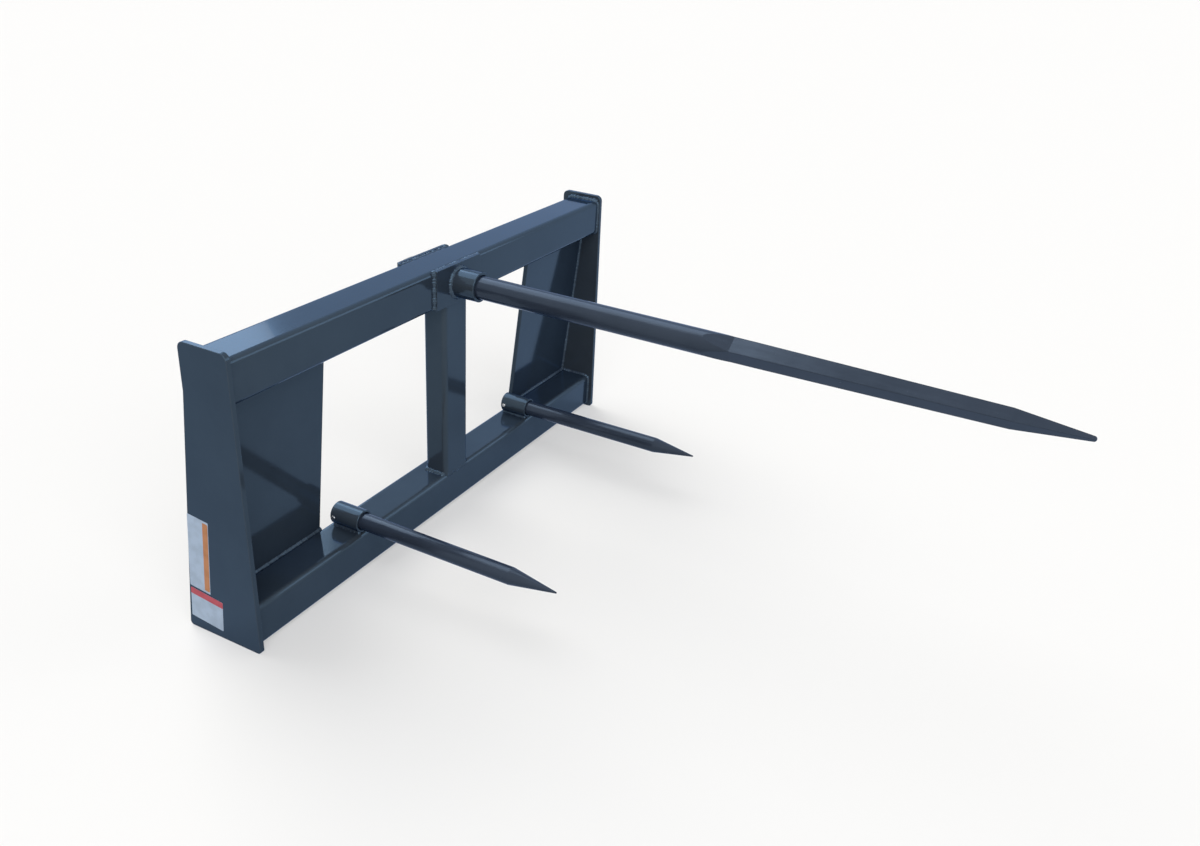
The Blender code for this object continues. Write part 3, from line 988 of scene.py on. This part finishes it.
@dataclass(frozen=True)
class HubGroup:
    """The hub, its two doubler plates and the seams around them."""

    ring_leg: float = 5.6 * MM
    tail_leg: float = 2.2 * MM
    ring_steps: int = 40
    plate_leg: float = 5.2 * MM
    plate_foot_inset: float = 3 * MM
    plate_head_inset: float = 2 * MM
    groove_leg: float = 4.6 * MM
    groove_end_inset: float = 3 * MM
    groove_inset: float = 2.9 * MM
    groove_depth: float = 3.9 * MM
    groove_tilt: float = 0.1

    def ring(self, y: float, toward: int, leg: float) -> Seam:
        """Seam around the hub on a plate's outer face.

        Args:
            y: The face's place.
            toward: -1 where the bead faces the front, 1 where it faces the rear.
            leg: Leg length of the bead.

        Returns:
            The closed seam.
        """
        hub_low, hub_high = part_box("main_hub")
        plate_low, plate_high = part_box("front_hub_plate")
        radius = (hub_high.x - hub_low.x) / 2
        centre = (plate_low.z + plate_high.z) / 2
        points, facing = [], []
        for step in range(self.ring_steps):
            angle = 2 * math.pi * step / self.ring_steps
            outward = Vector((math.cos(angle), 0, math.sin(angle)))
            points.append(Vector((0, y, centre)) + outward * radius)
            facing.append((outward + Vector((0, toward, 0))).normalized())
        return Seam(points, facing, [leg] * self.ring_steps, closed=True)

    def plate_seams(self, name: str, toward: int, face_y: float) -> list[Seam]:
        """Seams along a doubler plate's ends and its long edges.

        Args:
            name: The plate's node.
            toward: -1 for the front plate, 1 for the rear one.
            face_y: Face of the tube that carries the plate.

        Returns:
            The seams.
        """
        low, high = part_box(name)
        foot = low.z + self.plate_foot_inset
        head = high.z - self.plate_head_inset
        seams = []
        for side in Side:
            x = high.x * side.value
            seams.append(straight_seam(
                Vector((x, face_y, foot)), Vector((x, face_y, head)),
                Vector((side.value, toward, 0)), self.plate_leg))
        y = face_y - toward * self.groove_inset
        left = low.x + self.groove_end_inset
        right = high.x - self.groove_end_inset
        for edge, up in ((high.z, 1), (low.z, -1)):
            z = edge - up * self.groove_depth
            seams.append(straight_seam(
                Vector((left, y, z)), Vector((right, y, z)),
                Vector((0, -toward * self.groove_tilt, up)), self.groove_leg))
        return seams

    def dress(self, shop: WeldShop) -> None:
        """Weld the hub and its plates.

        Args:
            shop: Lays the beads.
        """
        tube_low, tube_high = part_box("top_tube")
        front = self.plate_seams("front_hub_plate", -1, tube_low.y)
        front.append(self.ring(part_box("front_hub_plate")[0].y, -1, self.ring_leg))
        rear = self.plate_seams("rear_hub_plate", 1, tube_high.y)
        rear.append(self.ring(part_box("rear_hub_plate")[1].y, 1, self.tail_leg))
        shop.lay("front_hub_welds", front, seed=51)
        shop.lay("rear_hub_welds", rear, seed=53)


@dataclass(frozen=True)
class StabilizerSleeves:
    """The sleeves of the short spears and the beads that hold them on the bottom tube."""

    offset: float = 11.5 * MM
    rise: float = 1.6 * MM
    leg: float = 4.0 * MM
    front_inset: float = 4 * MM
    rear_inset: float = 3 * MM
    tilt: float = 0.75

    def dress(self, shop: WeldShop) -> None:
        """Weld each sleeve along both sides of its foot.

        Args:
            shop: Lays the beads.
        """
        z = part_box("bottom_tube")[1].z + self.rise
        for side in Side:
            low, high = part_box(side.label + "_stabilizer_sleeve")
            seams = []
            for out in (-1, 1):
                x = (low.x + high.x) / 2 + out * self.offset
                seams.append(straight_seam(
                    Vector((x, low.y + self.front_inset, z)), Vector((x, high.y - self.rear_inset, z)),
                    Vector((out, 0, self.tilt)), self.leg))
            shop.lay(side.label + "_sleeve_welds", seams, seed=67 + side.value)


@dataclass(frozen=True)
class Decals:
    """Plain fields of film on the left side plate, set along the plate's rear edge."""

    lean: float = math.radians(5.8)
    film: float = 0.15 * MM
    corner: float = 1.5 * MM
    corner_steps: int = 4
    tall_centre: tuple[float, float] = (0.0562, -0.2897)
    tall_size: tuple[float, float] = (0.0450, 0.1440)
    low_centre: tuple[float, float] = (0.0530, -0.3964)
    low_size: tuple[float, float] = (0.0705, 0.0600)
    bar_width: float = 0.0112
    bar_inset: float = 1.0 * MM
    bar_shortfall: float = 8 * MM
    band_height: float = 0.0125
    pale: DecalFilm = DecalFilm("pale_film", (0.38, 0.48, 0.62))
    amber: DecalFilm = DecalFilm("amber_film", (0.46, 0.19, 0.075))
    red: DecalFilm = DecalFilm("red_film", (0.45, 0.06, 0.09))

    def outline(self, size: tuple[float, float]) -> list[tuple[float, float]]:
        """Draw a rounded rectangle about the origin.

        Args:
            size: Its width and height.

        Returns:
            Its corners' points in order.
        """
        wide = size[0] / 2 - self.corner
        high = size[1] / 2 - self.corner
        points = []
        for quarter, (u, v) in enumerate(((1, 1), (-1, 1), (-1, -1), (1, -1))):
            for step in range(self.corner_steps + 1):
                angle = (quarter + step / self.corner_steps) * QUARTER_TURN
                points.append((
                    u * wide + self.corner * math.cos(angle),
                    v * high + self.corner * math.sin(angle),
                ))
        return points

    def field(self, name: str, centre: Vector, size: tuple[float, float], layer: int,
              material: bpy.types.Material) -> bpy.types.Object:
        """Lay one rounded rectangle of film on the plate's outer face.

        Args:
            name: The piece's name.
            centre: Its centre as (y, z).
            size: Its width and height.
            layer: 0 on the plate, 1 on another film.
            material: Its film.

        Returns:
            The piece.
        """
        turn = Matrix.Rotation(self.lean, 2)
        face_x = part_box("left_side_plate")[0].x - layer * self.film
        under, over = [], []
        for point in self.outline(size):
            y, z = turn @ Vector(point)
            under.append((face_x, centre[0] + y, centre[1] + z))
            over.append((face_x - self.film, centre[0] + y, centre[1] + z))
        count = len(under)
        back = list(range(count))
        front = [count + place for place in reversed(back)]
        following = back[1:] + back[:1]
        rim = [(place, count + place, count + after, after) for place, after in zip(back, following)]
        mesh = bpy.data.meshes.new(name)
        mesh.from_pydata(under + over, [], [back, front, *rim])
        mesh.materials.append(material)
        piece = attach(add_object(name, mesh), BODY)
        LOG.info("laid %s", name)
        return piece

    def dress(self) -> None:
        """Lay the two pale fields with their colour bars."""
        pale = self.pale.material()
        amber = self.amber.material()
        red = self.red.material()
        along = Vector((math.cos(self.lean), math.sin(self.lean)))
        upward = Vector((-math.sin(self.lean), math.cos(self.lean)))
        tall = Vector(self.tall_centre)
        low = Vector(self.low_centre)
        bar = tall - along * (self.tall_size[0] / 2 - self.bar_width / 2 - self.bar_inset)
        band = low + upward * (self.low_size[1] / 2 - self.band_height / 2)
        self.field("tall_decal", tall, self.tall_size, 0, pale)
        self.field("low_decal", low, self.low_size, 0, pale)
        self.field("tall_decal_bar", bar, (self.bar_width, self.tall_size[1] - self.bar_shortfall), 1, amber)
        self.field("low_decal_band", band, (self.low_size[0], self.band_height), 1, red)


@dataclass(frozen=True)
class Finishes:
    """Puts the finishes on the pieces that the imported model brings."""

    by_slot: dict[Slot, bpy.types.Material]

    def dress(self) -> None:
        """Give every carried-over node the finish of its slot in the record."""
        slots = {row["node"]: Slot(row["material_slot"]) for row in frame["record"]["subparts"]}
        for name, node in frame["nodes"].items():
            material = self.by_slot[slots[name]]
            node.data.materials.clear()
            node.data.materials.append(material)
            LOG.info("dressed %s in %s", name, material.name)


@dataclass(frozen=True)
class Camera:
    """The camera, fitted to the photograph. Angles are in degrees."""

    place: Place = (-1.5422, -1.1349, 0.7007)
    heading: float = -63.8695
    dip: float = 26.1759
    roll: float = 3.8412
    focal_pixels: float = 1043.44
    centre_pixels: tuple[float, float] = (605.6, 412.94)
    image_pixels: tuple[int, int] = (1200, 846)
    sensor: float = 36.0
    reach: float = 400.0

    def set_up(self) -> None:
        """Make the camera and give it to the scene."""
        data = bpy.data.cameras.new("studio_camera")
        width, height = self.image_pixels
        data.sensor_width = self.sensor
        data.sensor_fit = "HORIZONTAL"
        data.lens = self.focal_pixels * self.sensor / width
        data.shift_x = (width / 2 - self.centre_pixels[0]) / width
        data.shift_y = (self.centre_pixels[1] - height / 2) / width
        data.clip_end = self.reach
        camera = bpy.data.objects.new("studio_camera", data)
        bpy.context.scene.collection.objects.link(camera)
        heading = Matrix.Rotation(math.radians(self.heading), 4, "Z")
        dip = Matrix.Rotation(math.radians(90 - self.dip), 4, "X")
        roll = Matrix.Rotation(math.radians(self.roll), 4, "Z")
        camera.matrix_world = Matrix.Translation(self.place) @ heading @ dip @ roll
        bpy.context.scene.camera = camera


@dataclass(frozen=True)
class SoftLight:
    """A wide, even light that shines towards the object."""

    name: str
    strength: float
    width: float
    place: Place
    colour: Colour = WHITE

    def hang(self) -> None:
        """Make the light. Its width is the angle that it fills, seen from the object."""
        data = bpy.data.lights.new(self.name, "SUN")
        data.energy = self.strength
        data.color = self.colour
        data.angle = self.width
        lamp = bpy.data.objects.new(self.name, data)
        bpy.context.scene.collection.objects.link(lamp)
        lamp.location = self.place
        lamp.rotation_euler = Vector(self.place).to_track_quat("Z", "Y").to_euler()


@dataclass(frozen=True)
class Studio:
    """Pale floor, soft lights and an even surround."""

    floor_radius: float = 160.0
    floor_sides: int = 64
    floor_colour: Colour = (0.42, 0.42, 0.42)
    floor_roughness: float = 0.9
    floor_lift: float = 0.39
    fill_strength: float = 0.40
    shown_strength: float = 0.97
    lights: tuple[SoftLight, ...] = (
        SoftLight("key_light", 2.0, math.radians(60), (-1.6, -1.5, 1.6)),
        SoftLight("back_light", 1.3, math.radians(44), (0.30, 0.76, 0.46), (1.0, 0.95, 0.84)),
        SoftLight("top_light", 1.6, math.radians(50), (0.15, 0.55, 0.82)),
        SoftLight("rim_light", 0.40, math.radians(28), (0.64, -0.72, 0.25)),
    )

    @staticmethod
    def seen(graph: Graph, strength: float, unseen: float = 0.0) -> bpy.types.NodeSocket:
        """Strength for rays that show the background, and another for all the rest.

        Args:
            graph: The tree to build in.
            strength: Strength for camera, glossy and transmission rays.
            unseen: Strength for every other ray.

        Returns:
            The strength.
        """
        path = graph.node("ShaderNodeLightPath").outputs
        shown = graph.math("MAXIMUM", path["Is Camera Ray"], path["Is Glossy Ray"])
        shown = graph.math("MAXIMUM", shown, path["Is Transmission Ray"])
        return graph.math("MULTIPLY_ADD", shown, strength - unseen, unseen)

    def floor(self) -> None:
        """Lay the floor under the object."""
        material, graph = new_material("pale_floor")
        shader = graph.node("ShaderNodeBsdfPrincipled", {
            "Base Color": self.floor_colour, "Roughness": self.floor_roughness, "Specular IOR Level": 0.0,
        })
        lift = graph.node("ShaderNodeEmission", {
            "Color": WHITE, "Strength": self.seen(graph, self.floor_lift),
        })
        graph.show(graph.node("ShaderNodeAddShader", {"0": shader.outputs[0], "1": lift.outputs[0]}))
        disc = bmesh.new()
        bmesh.ops.create_circle(disc, cap_ends=True, segments=self.floor_sides, radius=self.floor_radius)
        disc.transform(Matrix.Translation((0, 0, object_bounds()[0][2])))
        mesh = bpy.data.meshes.new("floor")
        disc.to_mesh(mesh)
        disc.free()
        mesh.materials.append(material)
        add_object("floor", mesh)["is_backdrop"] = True

    def surround(self) -> None:
        """Set the world to an even soft light that shows as white."""
        world = bpy.data.worlds.new("surround")
        bpy.context.scene.world = world
        world.use_nodes = True
        graph = Graph(world.node_tree)
        graph.show(graph.node("ShaderNodeBackground", {
            "Color": WHITE, "Strength": self.seen(graph, self.shown_strength, self.fill_strength),
        }), "ShaderNodeOutputWorld")

    def set_up(self) -> None:
        """Build the whole studio."""
        self.floor()
        self.surround()
        for light in self.lights:
            light.hang()
        bpy.context.scene.view_settings.view_transform = "Standard"


def main() -> None:
    """Dress the bale spear and set up the studio."""
    logging.basicConfig(level=logging.INFO, format="%(name)s: %(message)s")
    Camera().set_up()
    coat = SprayedCoat().group()
    skin = ForgeSkin().group()
    Finishes({
        Slot.FRAME_PAINT: FRAME_ENAMEL.material(coat, skin),
        Slot.SPEAR_PAINT: SPEAR_ENAMEL.material(coat, skin),
        Slot.ZINC_PLATE: ZincPlate().material(coat),
    }).dress()
    shop = WeldShop(BeadShape(), BEAD_ENAMEL_PAINTED_GLINT.material(coat, skin))
    TubeFrame().dress(shop)
    CouplerPlates().dress(shop)
    HubGroup().dress(shop)
    StabilizerSleeves().dress(shop)
    Decals().dress()
    Studio().set_up()


if __name__ == "__main__":
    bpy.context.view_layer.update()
    main()
